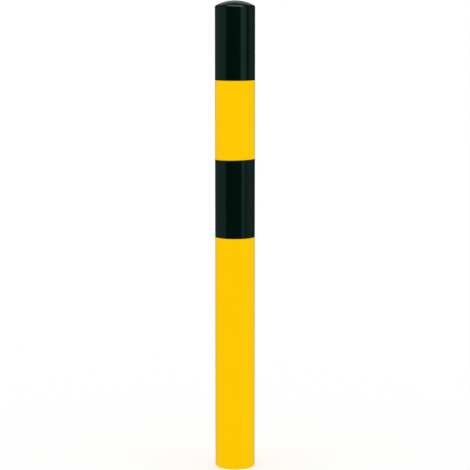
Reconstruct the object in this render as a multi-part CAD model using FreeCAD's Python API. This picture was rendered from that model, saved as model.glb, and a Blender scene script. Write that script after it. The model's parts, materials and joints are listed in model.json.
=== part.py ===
# Steel bollard: a round tube, open at the foot, closed by a pressed domed cap that is welded on.
# A second, black coat covers the top and one ring further down, over the tube's yellow finish.
# Millimetres. The foot stands on z = 0, centred on the axis, and +Z runs up to the crown.

import FreeCAD, Part
import math
import os

# Driving dimensions
OVERALL_HEIGHT = 1200.0  # foot of the tube to the crown of the steel cap
TUBE_DIAMETER = 101.6  # outside
TUBE_WALL = 3.6
FOOT_CHAMFER = 0.8  # deburred edges of the sawn foot, inside and outside

CROWN_RADIUS = 102.0  # outside of the shallow dome
CAP_WALL = 3.6
CAP_CORNER_INSIDE = 1.4  # inside radius of the pressed corner between dome and skirt
CAP_SKIRT = 6.0  # straight rim below the corner

ROOT_FACE = 1.0  # square land left at the root of the weld groove
BEVEL_ANGLE = 30.0  # degrees, on the tube's end and on the cap's rim

COAT_THICKNESS = 0.15
TOP_FIELD_HEIGHT = 200.0  # black, from the crown down
YELLOW_FIELD_HEIGHT = 200.0  # yellow, between the two black fields
LOWER_FIELD_HEIGHT = 200.0  # black

# Dimensions that follow from them
OUTER_RADIUS = TUBE_DIAMETER / 2
BORE_RADIUS = OUTER_RADIUS - TUBE_WALL
CAP_CORNER = CAP_CORNER_INSIDE + CAP_WALL

CROWN_CENTRE_Z = OVERALL_HEIGHT - CROWN_RADIUS
CORNER_CENTRE_R = OUTER_RADIUS - CAP_CORNER
CROWN_TO_CORNER = CROWN_RADIUS - CAP_CORNER  # distance between the two arc centres
CORNER_CENTRE_Z = CROWN_CENTRE_Z + math.sqrt(CROWN_TO_CORNER**2 - CORNER_CENTRE_R**2)
CROWN_EDGE_ANGLE = math.asin(CORNER_CENTRE_R / CROWN_TO_CORNER)  # from the axis to where the corner begins

JOINT_Z = CORNER_CENTRE_Z - CAP_SKIRT  # where the cap's rim sits on the tube
GROOVE_DEPTH = min(TUBE_WALL, CAP_WALL) - ROOT_FACE
GROOVE_RISE = GROOVE_DEPTH * math.tan(math.radians(BEVEL_ANGLE))
GROOVE_ROOT_RADIUS = OUTER_RADIUS - GROOVE_DEPTH

TOP_FIELD_Z = OVERALL_HEIGHT - TOP_FIELD_HEIGHT
LOWER_FIELD_TOP_Z = TOP_FIELD_Z - YELLOW_FIELD_HEIGHT
LOWER_FIELD_Z = LOWER_FIELD_TOP_Z - LOWER_FIELD_HEIGHT


def point(radius, height):
    """A point of the half section, which lies in the XZ plane."""
    return FreeCAD.Vector(radius, 0, height)


def polyline(*corners):
    """Straight edges through the corners, each given as (radius, height)."""
    points = [point(*corner) for corner in corners]
    return [Part.LineSegment(a, b).toShape() for a, b in zip(points, points[1:])]


def arc(centre, radius, start_angle, end_angle):
    """An arc of the half section, with angles measured from the axis, outwards."""
    angles = (start_angle, (start_angle + end_angle) / 2, end_angle)
    ends = [
        point(centre[0] + radius * math.sin(angle), centre[1] + radius * math.cos(angle))
        for angle in angles
    ]
    return Part.Arc(*ends).toShape()


def dome(offset):
    """The cap's outside from crown to skirt, moved outwards by the offset, as two tangent arcs."""
    crown = arc((0, CROWN_CENTRE_Z), CROWN_RADIUS + offset, 0, CROWN_EDGE_ANGLE)
    corner = arc(
        (CORNER_CENTRE_R, CORNER_CENTRE_Z), CAP_CORNER + offset, CROWN_EDGE_ANGLE, math.pi / 2
    )
    return [crown, corner]


def turned(edges):
    """The solid that a closed half section sweeps about the axis."""
    section = Part.Face(Part.Wire(edges))
    return section.revolve(FreeCAD.Vector(0, 0, 0), FreeCAD.Vector(0, 0, 1), 360)


def dome_shell(inner_offset, outer_offset, rim):
    """A turned shell under the dome, closed at the bottom by the rim's corners, from outside to inside."""
    crown_z = OVERALL_HEIGHT
    axis = polyline((0, crown_z + inner_offset), (0, crown_z + outer_offset))
    outside = dome(outer_offset)
    inside = dome(inner_offset)
    outer_end = (OUTER_RADIUS + outer_offset, CORNER_CENTRE_Z)
    inner_end = (OUTER_RADIUS + inner_offset, CORNER_CENTRE_Z)
    return turned(axis + outside + polyline(outer_end, *rim, inner_end) + inside[::-1])


def post_tube():
    """The tube: chamfered foot, and a bevelled top with a square land at the weld's root."""
    return turned(
        polyline(
            (BORE_RADIUS + FOOT_CHAMFER, 0),
            (OUTER_RADIUS - FOOT_CHAMFER, 0),
            (OUTER_RADIUS, FOOT_CHAMFER),
            (OUTER_RADIUS, JOINT_Z - GROOVE_RISE),
            (GROOVE_ROOT_RADIUS, JOINT_Z),
            (BORE_RADIUS, JOINT_Z),
            (BORE_RADIUS, FOOT_CHAMFER),
            (BORE_RADIUS + FOOT_CHAMFER, 0),
        )
    )


def dome_cap():
    """The pressed cap: shallow dome, tight corner and a straight skirt with a bevelled rim."""
    rim = [
        (OUTER_RADIUS, JOINT_Z + GROOVE_RISE),
        (GROOVE_ROOT_RADIUS, JOINT_Z),
        (OUTER_RADIUS - CAP_WALL, JOINT_Z),
    ]
    return dome_shell(-CAP_WALL, 0, rim)


def cap_weld():
    """Weld metal that fills the V groove, ground flush with the tube."""
    return turned(
        polyline(
            (GROOVE_ROOT_RADIUS, JOINT_Z),
            (OUTER_RADIUS, JOINT_Z - GROOVE_RISE),
            (OUTER_RADIUS, JOINT_Z + GROOVE_RISE),
            (GROOVE_ROOT_RADIUS, JOINT_Z),
        )
    )


def upper_black_coat():
    """Black coat over the dome, the weld and the top of the tube, to its masked edge."""
    rim = [
        (OUTER_RADIUS + COAT_THICKNESS, TOP_FIELD_Z),
        (OUTER_RADIUS, TOP_FIELD_Z),
    ]
    return dome_shell(0, COAT_THICKNESS, rim)


def lower_black_coat():
    """Black coat in a ring between two masked edges."""
    coat_radius = OUTER_RADIUS + COAT_THICKNESS
    return turned(
        polyline(
            (OUTER_RADIUS, LOWER_FIELD_Z),
            (coat_radius, LOWER_FIELD_Z),
            (coat_radius, LOWER_FIELD_TOP_Z),
            (OUTER_RADIUS, LOWER_FIELD_TOP_Z),
            (OUTER_RADIUS, LOWER_FIELD_Z),
        )
    )


PIECES = (post_tube, dome_cap, cap_weld, upper_black_coat, lower_black_coat)

os.makedirs("parts", exist_ok=True)
for make in PIECES:
    make().exportStep(f"parts/{make.__name__}.step")
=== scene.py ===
# Looks of the steel bollard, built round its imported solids.
# Metres. +Z is up, the foot stands on z = 0, and the photograph is taken from -Y with +X to the right.

import json
import math

import bpy
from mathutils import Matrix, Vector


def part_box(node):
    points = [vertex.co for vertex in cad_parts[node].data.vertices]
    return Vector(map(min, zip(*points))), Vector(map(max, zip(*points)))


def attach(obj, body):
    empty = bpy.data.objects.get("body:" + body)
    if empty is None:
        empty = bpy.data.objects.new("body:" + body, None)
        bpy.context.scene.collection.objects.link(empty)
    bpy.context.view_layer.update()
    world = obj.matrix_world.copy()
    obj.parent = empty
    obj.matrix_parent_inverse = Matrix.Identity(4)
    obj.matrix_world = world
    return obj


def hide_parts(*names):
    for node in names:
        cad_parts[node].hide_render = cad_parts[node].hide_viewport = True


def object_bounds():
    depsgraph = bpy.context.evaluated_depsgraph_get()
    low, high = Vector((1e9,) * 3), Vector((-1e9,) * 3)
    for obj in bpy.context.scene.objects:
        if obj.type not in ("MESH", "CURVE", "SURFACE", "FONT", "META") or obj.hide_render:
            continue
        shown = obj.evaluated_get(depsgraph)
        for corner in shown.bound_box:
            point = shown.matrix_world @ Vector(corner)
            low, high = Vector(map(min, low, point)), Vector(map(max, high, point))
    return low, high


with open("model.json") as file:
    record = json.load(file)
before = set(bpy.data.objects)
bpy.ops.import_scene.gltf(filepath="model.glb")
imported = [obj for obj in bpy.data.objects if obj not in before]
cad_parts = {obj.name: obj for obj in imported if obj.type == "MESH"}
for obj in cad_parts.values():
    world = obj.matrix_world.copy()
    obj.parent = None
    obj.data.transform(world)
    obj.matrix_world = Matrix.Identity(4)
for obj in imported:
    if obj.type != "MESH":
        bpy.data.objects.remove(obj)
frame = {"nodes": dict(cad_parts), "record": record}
cad_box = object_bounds()

MM = 0.001  # one millimetre, in metres

# Shapes that the solids' boxes don't give
FOOT_ROUND = 0.8 * MM  # painted, deburred edges of the sawn foot
ROOT_FACE = 1.0 * MM  # square land at the root of the weld groove
CROWN_RADIUS = 102.0 * MM  # outside of the steel dome
CAP_CORNER = 5.0 * MM  # outside radius of the pressed corner under the dome
LIP_HEIGHT = 0.03 * MM  # ridge that the masking tape left along each edge of the black coat
LIP_CREST = 0.25 * MM  # from the edge to the top of that ridge
LIP_WIDTH = 1.5 * MM  # from the edge to the plain film
RING_TILT = 1.07 * MM  # the lower field's top edge was masked askew: its rise at the right-hand side

# Fineness of the turned meshes
SEGMENTS = 256  # round the axis
RING_STEP = 25.0 * MM  # longest stretch of a straight wall between two rows of points
CROWN_STEPS = 24
CORNER_STEPS = 14
FOOT_STEPS = 6
LIP_STEPS = 6
SHARP_ANGLE = math.radians(35)
SAME_POINT = 0.001 * MM  # points of a section closer than this are one

# Paint: the two colours that its faint clouds lie between, how much it mirrors, and the tint of that
YELLOW_COLOURS = ((1.0, 0.588, 0.0005), (0.99, 0.580, 0.0005))
YELLOW_GLOSS = 0.1
YELLOW_GLOSS_TINT = (1.0, 0.65, 0.1)
BLACK_COLOURS = ((0.0001, 0.0063, 0.0042), (0.0002, 0.0070, 0.0047))
BLACK_GLOSS = 0.5
BLACK_GLOSS_TINT = (1.0, 1.0, 1.0)
PAINT_ROUGHNESS = (0.14, 0.20)
CLOUD_SCALE = 9.0  # waves per metre, as in the next two
GLOSS_SCALE = 70.0  # patches of more and of less gloss
PEEL_SCALE = 380.0  # orange peel
PEEL_STRENGTH = 0.25
PEEL_DEPTH = 0.02 * MM
NOISE_DETAIL = 2.0
NOISE_RANGE = (0.3, 0.7)  # between which most of a noise's values lie

# Bare zinc on the steel
CRYSTAL_SCALE = 110.0  # crystals per metre
ZINC_GREYS = ((0.36, 0.37, 0.38), (0.56, 0.57, 0.58))
ZINC_ROUGHNESS = (0.38, 0.58)

# Camera, at the photograph's viewpoint
CAMERA_DISTANCE = 4.4  # from the post's axis
CAMERA_HEIGHT = 1.19
SENSOR_WIDTH = 36.0  # millimetres
FRAME_FILL = 0.9985  # share of the picture's height from the foot to the crown

# Studio: a white world and floor, and a dark tent round the post whose lights show in the gloss alone
FLOOR_SIZE = 40.0
FLOOR_GLOW = 0.5  # share of the floor's white that shines by itself, so that its shadow stays faint
TENT_RADIUS = 0.3
TENT_SHOULDER = 1.2  # height at which the tent's upright wall turns into its dome
TENT_SHEET = 0.001  # height of the sheet round the foot that closes the tent below
TENT_OPENING = 0.056  # radius of the hole in that sheet

# Upright panels on the tent's wall beside each black field: a broad one on the left, and a narrow and a
# broad one on the right. Each begins, is full, fades and ends at an azimuth, and has a level. Azimuths are
# in degrees from the camera's side, positive to the right
UPPER_PANELS = ((-180, -60, -54, -48, 0.32), (27, 33, 56, 66, 0.47), (72, 87, 90, 150, 0.22))
LOWER_PANELS = ((-180, -60, -54, -48, 0.28), (33, 39, 47, 60, 0.42), (55, 68, 87, 150, 0.23))
PANEL_TINT = (0.55, 1.0, 0.88)
PANEL_CHANGE = (0.85, 0.95)  # heights between which the lower panels give way to the upper ones
PANEL_TOP = (3, 12)  # elevations, in degrees from the dome's centre, between which the panels end

# Sky on the tent's dome, behind the post, with a weak ring of it on the other sides
SKY_RISE = (12, 22, 24, 60)  # elevations at which it begins, is full, fades and ends
SKY_EDGE = (148, 165)  # azimuths to either side between which the ring turns into the full sky
SKY_RING = 0.15  # share of the sky's light in the ring
SKY_LEVEL = 0.62
SKY_TINT = (0.84, 1.0, 0.87)  # of the strip lamp too

# Strip lamp across the tent's dome
STRIP_RISE = (40, 56, 74, 90)  # degrees from the front over the top: it begins, is full, fades and ends
STRIP_SPAN = (-36, -18, 30, 44)  # the same, from left to right
STRIP_TILT = 0.4  # how much lower it hangs for each degree to the right
STRIP_LEVEL = 5.5

# Sizes read from the solids
tube_low, tube_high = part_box("post_tube")
_, cap_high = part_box("dome_cap")
weld_low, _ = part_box("cap_weld")
top_low, top_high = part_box("upper_black_coat")
ring_low, ring_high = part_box("lower_black_coat")
outer_radius = tube_high.x
coat_radius = min(top_high.x, top_high.y, -top_low.x, -top_low.y)  # the meshed solid's least reach
coat_thickness = coat_radius - outer_radius
film_thickness = coat_thickness - LIP_HEIGHT
mounts = {mount["name"]: mount for mount in frame["record"]["mounts"]}
bore_radius = mounts["tube_bore"]["dims"]["r_mm"] * MM
groove_radius = bore_radius + ROOT_FACE

corner_centre_radius = outer_radius - CAP_CORNER
crown_centre_z = cap_high.z - CROWN_RADIUS
crown_to_corner = CROWN_RADIUS - CAP_CORNER
corner_centre_z = crown_centre_z + math.sqrt(crown_to_corner**2 - corner_centre_radius**2)
crown_edge_angle = math.asin(corner_centre_radius / crown_to_corner)


# Half sections, as points of (radius, height)

def straight(start, end):
    """Evenly spaced points along a straight stretch, ends included."""
    length = math.dist(start, end)
    steps = max(1, math.ceil(length / RING_STEP))
    points = []
    for step in range(steps + 1):
        share = step / steps
        points.append((start[0] + (end[0] - start[0]) * share, start[1] + (end[1] - start[1]) * share))
    return points


def arc(centre, radius, start_angle, end_angle, steps):
    """Points along an arc, with angles measured from the axis, outwards."""
    points = []
    for step in range(steps + 1):
        angle = start_angle + (end_angle - start_angle) * step / steps
        points.append((centre[0] + radius * math.sin(angle), centre[1] + radius * math.cos(angle)))
    return points


def crowned(centre_z, radius, start_angle, steps):
    """Points along an arc about a centre on the axis, from the start angle to a crown exactly on the axis."""
    points = arc((0, centre_z), radius, start_angle, 0, steps)
    points[-1] = (0, centre_z + radius)
    return points


def dome(offset):
    """The steel cap's outside, moved outwards by the offset, from the straight wall's top to the crown."""
    centre = (corner_centre_radius, corner_centre_z)
    corner = arc(centre, CAP_CORNER + offset, math.pi / 2, crown_edge_angle, CORNER_STEPS)
    crown = crowned(crown_centre_z, CROWN_RADIUS + offset, crown_edge_angle, CROWN_STEPS)
    return corner + crown[1:]


def masked_edge(edge_z, into):
    """The coat's edge, from the steel over the rounded ridge to the plain film. The coat lies above the
    edge where into is 1, and below it where into is -1."""
    points = []
    for step in range(LIP_STEPS + 1):
        angle = math.pi / 2 * step / LIP_STEPS
        distance = LIP_CREST * (1 - math.cos(angle))
        points.append((outer_radius + coat_thickness * math.sin(angle), edge_z + into * distance))
    for step in range(1, LIP_STEPS + 1):
        share = step / LIP_STEPS
        distance = LIP_CREST + (LIP_WIDTH - LIP_CREST) * share
        thickness = film_thickness + LIP_HEIGHT * (1 + math.cos(math.pi * share)) / 2
        points.append((outer_radius + thickness, edge_z + into * distance))
    return points


# Meshes

def new_object(name, vertices, faces):
    """A mesh object in the scene."""
    mesh = bpy.data.meshes.new(name)
    mesh.from_pydata(vertices, [], faces)
    made = bpy.data.objects.new(name, mesh)
    bpy.context.scene.collection.objects.link(made)
    return made


def turned(name, runs, materials):
    """An object turned about the axis. Its section is runs of (material index, points), end to end: one that
    comes back to its start makes a ring, and one that starts and ends on the axis makes a cap."""
    points = [runs[0][1][0]]
    edge_materials = []
    for material_index, run in runs:
        points += run[1:]
        edge_materials += [material_index] * (len(run) - 1)
    is_ring = math.dist(points[0], points[-1]) < SAME_POINT
    if is_ring:
        points.pop()

    vertices = []
    rows = []
    for radius, height in points:
        count = SEGMENTS if radius > 0 else 1
        rows.append(range(len(vertices), len(vertices) + count))
        for step in range(count):
            angle = math.tau * step / SEGMENTS
            vertices.append((radius * math.cos(angle), radius * math.sin(angle), height))
    if is_ring:
        rows.append(rows[0])

    faces = []
    face_materials = []
    for row, next_row, material_index in zip(rows, rows[1:], edge_materials):
        for step in range(SEGMENTS):
            after = (step + 1) % SEGMENTS
            corners = [row[step % len(row)], row[after % len(row)]]
            corners += [next_row[after % len(next_row)], next_row[step % len(next_row)]]
            faces.append(list(dict.fromkeys(corners)))  # a row on the axis is one point: triangles
            face_materials.append(material_index)

    made = new_object(name, vertices, faces)
    for material in materials:
        made.data.materials.append(material)
    made.data.polygons.foreach_set("material_index", face_materials)
    made.data.shade_smooth()
    made.data.set_sharp_from_angle(angle=SHARP_ANGLE)
    return made


def painted_tube(yellow, steel):
    """The tube: yellow outside and over its rounded foot edge, bare inside and in the weld groove."""
    foot_z = tube_low.z
    foot_centre = (outer_radius - FOOT_ROUND, foot_z + FOOT_ROUND)
    outside = arc(foot_centre, FOOT_ROUND, math.pi, math.pi / 2, FOOT_STEPS)
    outside += straight(outside[-1], (outer_radius, weld_low.z))[1:]
    groove = [(outer_radius, weld_low.z), (groove_radius, tube_high.z), (bore_radius, tube_high.z)]
    inside = straight(groove[-1], (bore_radius, foot_z + FOOT_ROUND))
    inside += [(bore_radius + FOOT_ROUND, foot_z), outside[0]]
    return turned("painted_tube", [(0, outside), (1, groove), (1, inside)], [yellow, steel])


def top_coat(black):
    """The black coat over the dome and the top of the tube, to its masked edge."""
    inside = dome(0)[::-1] + straight((outer_radius, corner_centre_z), (outer_radius, top_low.z))[1:]
    edge = masked_edge(top_low.z, 1)
    outside = straight(edge[-1], (outer_radius + film_thickness, corner_centre_z))
    outside += dome(film_thickness)[1:]
    return turned("top_coat", [(0, inside), (0, edge), (0, outside)], [black])


def ring_coat(black):
    """The black coat's lower ring between two masked edges, the upper one slightly askew."""
    lower_edge = masked_edge(ring_low.z, 1)
    upper_edge = masked_edge(ring_high.z, -1)[::-1]
    outside = straight(lower_edge[-1], upper_edge[0])
    inside = straight(upper_edge[-1], lower_edge[0])
    made = turned("ring_coat", [(0, lower_edge), (0, outside), (0, upper_edge), (0, inside)], [black])
    middle_z = (ring_low.z + ring_high.z) / 2
    for vertex in made.data.vertices:
        share = max(0, (vertex.co.z - middle_z) / (ring_high.z - middle_z))
        vertex.co.z += RING_TILT * share * vertex.co.x / outer_radius
    return made


# Materials

def add_node(tree, kind, inputs=None, **settings):
    """A new node. The inputs are values, or sockets to link from, by the input's name or place."""
    made = tree.nodes.new(kind)
    for name, value in settings.items():
        setattr(made, name, value)
    for key, value in (inputs or {}).items():
        if isinstance(value, bpy.types.NodeSocket):
            tree.links.new(value, made.inputs[key])
        else:
            made.inputs[key].default_value = value
    return made


def object_place(tree):
    """The shaded point's place on the object."""
    return add_node(tree, "ShaderNodeTexCoord").outputs["Object"]


def noise(tree, place, scale):
    """Soft noise over the object, with the scale in waves per metre."""
    inputs = {"Vector": place, "Scale": scale, "Detail": NOISE_DETAIL}
    return add_node(tree, "ShaderNodeTexNoise", inputs).outputs["Fac"]


def scaled(tree, value, from_range, to_range):
    """The value carried from one range to another, and held at the ends."""
    inputs = {"Value": value}
    inputs["From Min"], inputs["From Max"] = from_range
    inputs["To Min"], inputs["To Max"] = to_range
    return add_node(tree, "ShaderNodeMapRange", inputs).outputs["Result"]


def mixed_colour(tree, share, colours):
    """A colour between two, by the share of the second."""
    first, second = colours
    inputs = {"Factor": share, "A": (*first, 1), "B": (*second, 1)}
    return add_node(tree, "ShaderNodeMix", inputs, data_type="RGBA").outputs["Result"]


def new_material(name):
    """A material with a Principled shader, as (material, node tree, shader)."""
    material = bpy.data.materials.new(name)
    material.use_nodes = True
    return material, material.node_tree, material.node_tree.nodes["Principled BSDF"]


def sprayed_paint(name, colours, gloss, gloss_tint):
    """A sprayed coat: faint clouds between two colours, uneven gloss and a fine orange-peel surface."""
    material, tree, shader = new_material(name)
    shader.inputs["Specular IOR Level"].default_value = gloss
    shader.inputs["Specular Tint"].default_value = (*gloss_tint, 1)
    place = object_place(tree)
    clouds = scaled(tree, noise(tree, place, CLOUD_SCALE), NOISE_RANGE, (0, 1))
    roughness = scaled(tree, noise(tree, place, GLOSS_SCALE), NOISE_RANGE, PAINT_ROUGHNESS)
    peel = {"Height": noise(tree, place, PEEL_SCALE), "Strength": PEEL_STRENGTH, "Distance": PEEL_DEPTH}
    bump = add_node(tree, "ShaderNodeBump", peel)
    tree.links.new(mixed_colour(tree, clouds, colours), shader.inputs["Base Color"])
    tree.links.new(roughness, shader.inputs["Roughness"])
    tree.links.new(bump.outputs["Normal"], shader.inputs["Normal"])
    return material


def galvanised_steel():
    """Zinc-coated steel: crystals in several greys, each with its own gloss."""
    material, tree, shader = new_material("galvanised_steel")
    shader.inputs["Metallic"].default_value = 1.0
    crystal = {"Vector": object_place(tree), "Scale": CRYSTAL_SCALE}
    tone = add_node(tree, "ShaderNodeTexVoronoi", crystal).outputs["Color"]
    grey, dullness, _ = add_node(tree, "ShaderNodeSeparateColor", {"Color": tone}).outputs
    roughness = scaled(tree, dullness, (0, 1), ZINC_ROUGHNESS)
    tree.links.new(mixed_colour(tree, grey, ZINC_GREYS), shader.inputs["Base Color"])
    tree.links.new(roughness, shader.inputs["Roughness"])
    return material


# Studio

def replace_shader(tree, shader, first, second):
    """Puts the sum of two shader nodes in the place of a material's own shader."""
    tree.nodes.remove(shader)
    both = add_node(tree, "ShaderNodeAddShader", {0: first.outputs[0], 1: second.outputs[0]})
    tree.links.new(both.outputs["Shader"], tree.nodes["Material Output"].inputs["Surface"])


def maths(tree, operation, *values):
    """The result of arithmetic on numbers or sockets."""
    return add_node(tree, "ShaderNodeMath", dict(enumerate(values)), operation=operation).outputs[0]


def degrees(tree, operation, *values):
    """The angle, in degrees, that an inverse function gives."""
    return maths(tree, "DEGREES", maths(tree, operation, *values))


def lit_span(tree, angle, begin, full, fade, end):
    """The light across one span of angles: 1 from full to fade, and 0 before it begins and after its end."""
    rising = scaled(tree, angle, (begin, full), (0, 1))
    falling = scaled(tree, angle, (fade, end), (1, 0))
    return maths(tree, "MULTIPLY", rising, falling)


def panel_light(tree, azimuth, panels):
    """The light of all the panels at an azimuth."""
    total = 0.0
    for *span, level in panels:
        total = maths(tree, "MULTIPLY_ADD", lit_span(tree, azimuth, *span), level, total)
    return total


def wall_light(tree, azimuth, height, elevation):
    """The light on the tent's wall: the panels, which end above its shoulder."""
    lower = panel_light(tree, azimuth, LOWER_PANELS)
    upper = panel_light(tree, azimuth, UPPER_PANELS)
    change = {"Factor": scaled(tree, height, PANEL_CHANGE, (0, 1)), "A": lower, "B": upper}
    panels = add_node(tree, "ShaderNodeMix", change).outputs["Result"]
    return maths(tree, "MULTIPLY", panels, scaled(tree, elevation, PANEL_TOP, (1, 0)))


def dome_light(tree, azimuth, elevation, over, sideways):
    """The light on the tent's dome: the sky, and the strip lamp by its angles over the top and sideways."""
    sky_side = scaled(tree, maths(tree, "ABSOLUTE", azimuth), SKY_EDGE, (SKY_RING, 1))
    sky = maths(tree, "MULTIPLY", lit_span(tree, elevation, *SKY_RISE), sky_side)
    tilted = maths(tree, "MULTIPLY_ADD", sideways, STRIP_TILT, over)
    across = lit_span(tree, sideways, *STRIP_SPAN)
    strip = maths(tree, "MULTIPLY", lit_span(tree, tilted, *STRIP_RISE), across)
    return maths(tree, "MULTIPLY_ADD", sky, SKY_LEVEL, maths(tree, "MULTIPLY", strip, STRIP_LEVEL))


def tent_light():
    """The dark tent's lights, placed by angles about the post and about the dome's centre."""
    material, tree, shader = new_material("tent_light")
    place = object_place(tree)
    right, back, height = add_node(tree, "ShaderNodeSeparateXYZ", {"Vector": place}).outputs
    azimuth = degrees(tree, "ARCTAN2", right, maths(tree, "MULTIPLY", back, -1))
    centre = {0: place, 1: (0, 0, TENT_SHOULDER)}
    from_centre = add_node(tree, "ShaderNodeVectorMath", centre, operation="SUBTRACT").outputs[0]
    aim = add_node(tree, "ShaderNodeVectorMath", {0: from_centre}, operation="NORMALIZE").outputs[0]
    aim_right, aim_back, aim_up = add_node(tree, "ShaderNodeSeparateXYZ", {"Vector": aim}).outputs
    elevation = degrees(tree, "ARCSINE", aim_up)
    over = degrees(tree, "ARCTAN2", aim_up, maths(tree, "MULTIPLY", aim_back, -1))
    sideways = degrees(tree, "ARCSINE", aim_right)

    wall_level = wall_light(tree, azimuth, height, elevation)
    dome_level = dome_light(tree, azimuth, elevation, over, sideways)
    wall_glow = add_node(tree, "ShaderNodeEmission", {"Color": (*PANEL_TINT, 1), "Strength": wall_level})
    dome_glow = add_node(tree, "ShaderNodeEmission", {"Color": (*SKY_TINT, 1), "Strength": dome_level})
    replace_shader(tree, shader, wall_glow, dome_glow)
    return material


def add_tent():
    """The floor sheet, round wall and dome of the tent, seen by the gloss alone."""
    sheet = [(TENT_OPENING, TENT_SHEET), (TENT_RADIUS, TENT_SHEET)]
    wall = [(TENT_RADIUS, TENT_SHEET), (TENT_RADIUS, TENT_SHOULDER)]
    shell = crowned(TENT_SHOULDER, TENT_RADIUS, math.pi / 2, CROWN_STEPS)
    tent = turned("tent", [(0, sheet), (0, wall), (0, shell)], [tent_light()])
    tent.visible_camera = False
    tent.visible_diffuse = False
    tent.visible_transmission = False
    tent.visible_volume_scatter = False
    tent.visible_shadow = False


def add_floor():
    """A white floor that takes a faint shadow."""
    half = FLOOR_SIZE / 2
    corners = [(-half, -half, 0), (half, -half, 0), (half, half, 0), (-half, half, 0)]
    floor = new_object("floor", corners, [(0, 1, 2, 3)])
    material, tree, shader = new_material("white_floor")
    matt_white = 1 - FLOOR_GLOW
    matt = add_node(tree, "ShaderNodeBsdfDiffuse", {"Color": (matt_white, matt_white, matt_white, 1)})
    glow = add_node(tree, "ShaderNodeEmission", {"Strength": FLOOR_GLOW})
    replace_shader(tree, shader, matt, glow)
    floor.data.materials.append(material)


def add_world():
    """A white studio, as bright from every side."""
    world = bpy.data.worlds.new("studio")
    world.use_nodes = True
    background = world.node_tree.nodes["Background"]
    background.inputs["Color"].default_value = (1, 1, 1, 1)
    background.inputs["Strength"].default_value = 1.0
    bpy.context.scene.world = world


def add_camera():
    """A camera that looks along +Y and slightly down, and fills the picture from the foot to the crown."""
    low, high = cad_box
    to_crown = math.atan2(high.z - CAMERA_HEIGHT, CAMERA_DISTANCE)
    to_foot = math.atan2(low.z - CAMERA_HEIGHT, CAMERA_DISTANCE - outer_radius)
    half_view = (to_crown - to_foot) / 2
    camera = bpy.data.objects.new("camera", bpy.data.cameras.new("camera"))
    camera.data.sensor_width = SENSOR_WIDTH
    camera.data.lens = SENSOR_WIDTH / 2 * FRAME_FILL / math.tan(half_view)
    camera.location = (0, -CAMERA_DISTANCE, CAMERA_HEIGHT)
    camera.rotation_euler = (math.pi / 2 + (to_crown + to_foot) / 2, 0, 0)
    bpy.context.scene.collection.objects.link(camera)
    bpy.context.scene.camera = camera


# The bollard
yellow_paint = sprayed_paint("yellow_paint", YELLOW_COLOURS, YELLOW_GLOSS, YELLOW_GLOSS_TINT)
black_paint = sprayed_paint("black_paint", BLACK_COLOURS, BLACK_GLOSS, BLACK_GLOSS_TINT)
zinc = galvanised_steel()

PIECES = (
    (painted_tube(yellow_paint, zinc), "post_tube", "yellow_coat"),
    (top_coat(black_paint), "upper_black_coat", "black_coat"),
    (ring_coat(black_paint), "lower_black_coat", "black_coat"),
)
for piece, node_name, slot_name in PIECES:
    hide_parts(node_name)
    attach(piece, "root")

for node_name in ("dome_cap", "cap_weld"):
    node_mesh = frame["nodes"][node_name].data
    node_mesh.materials.clear()
    node_mesh.materials.append(zinc)

add_world()
add_floor()
add_tent()
add_camera()
bpy.context.scene.view_settings.view_transform = "Standard"
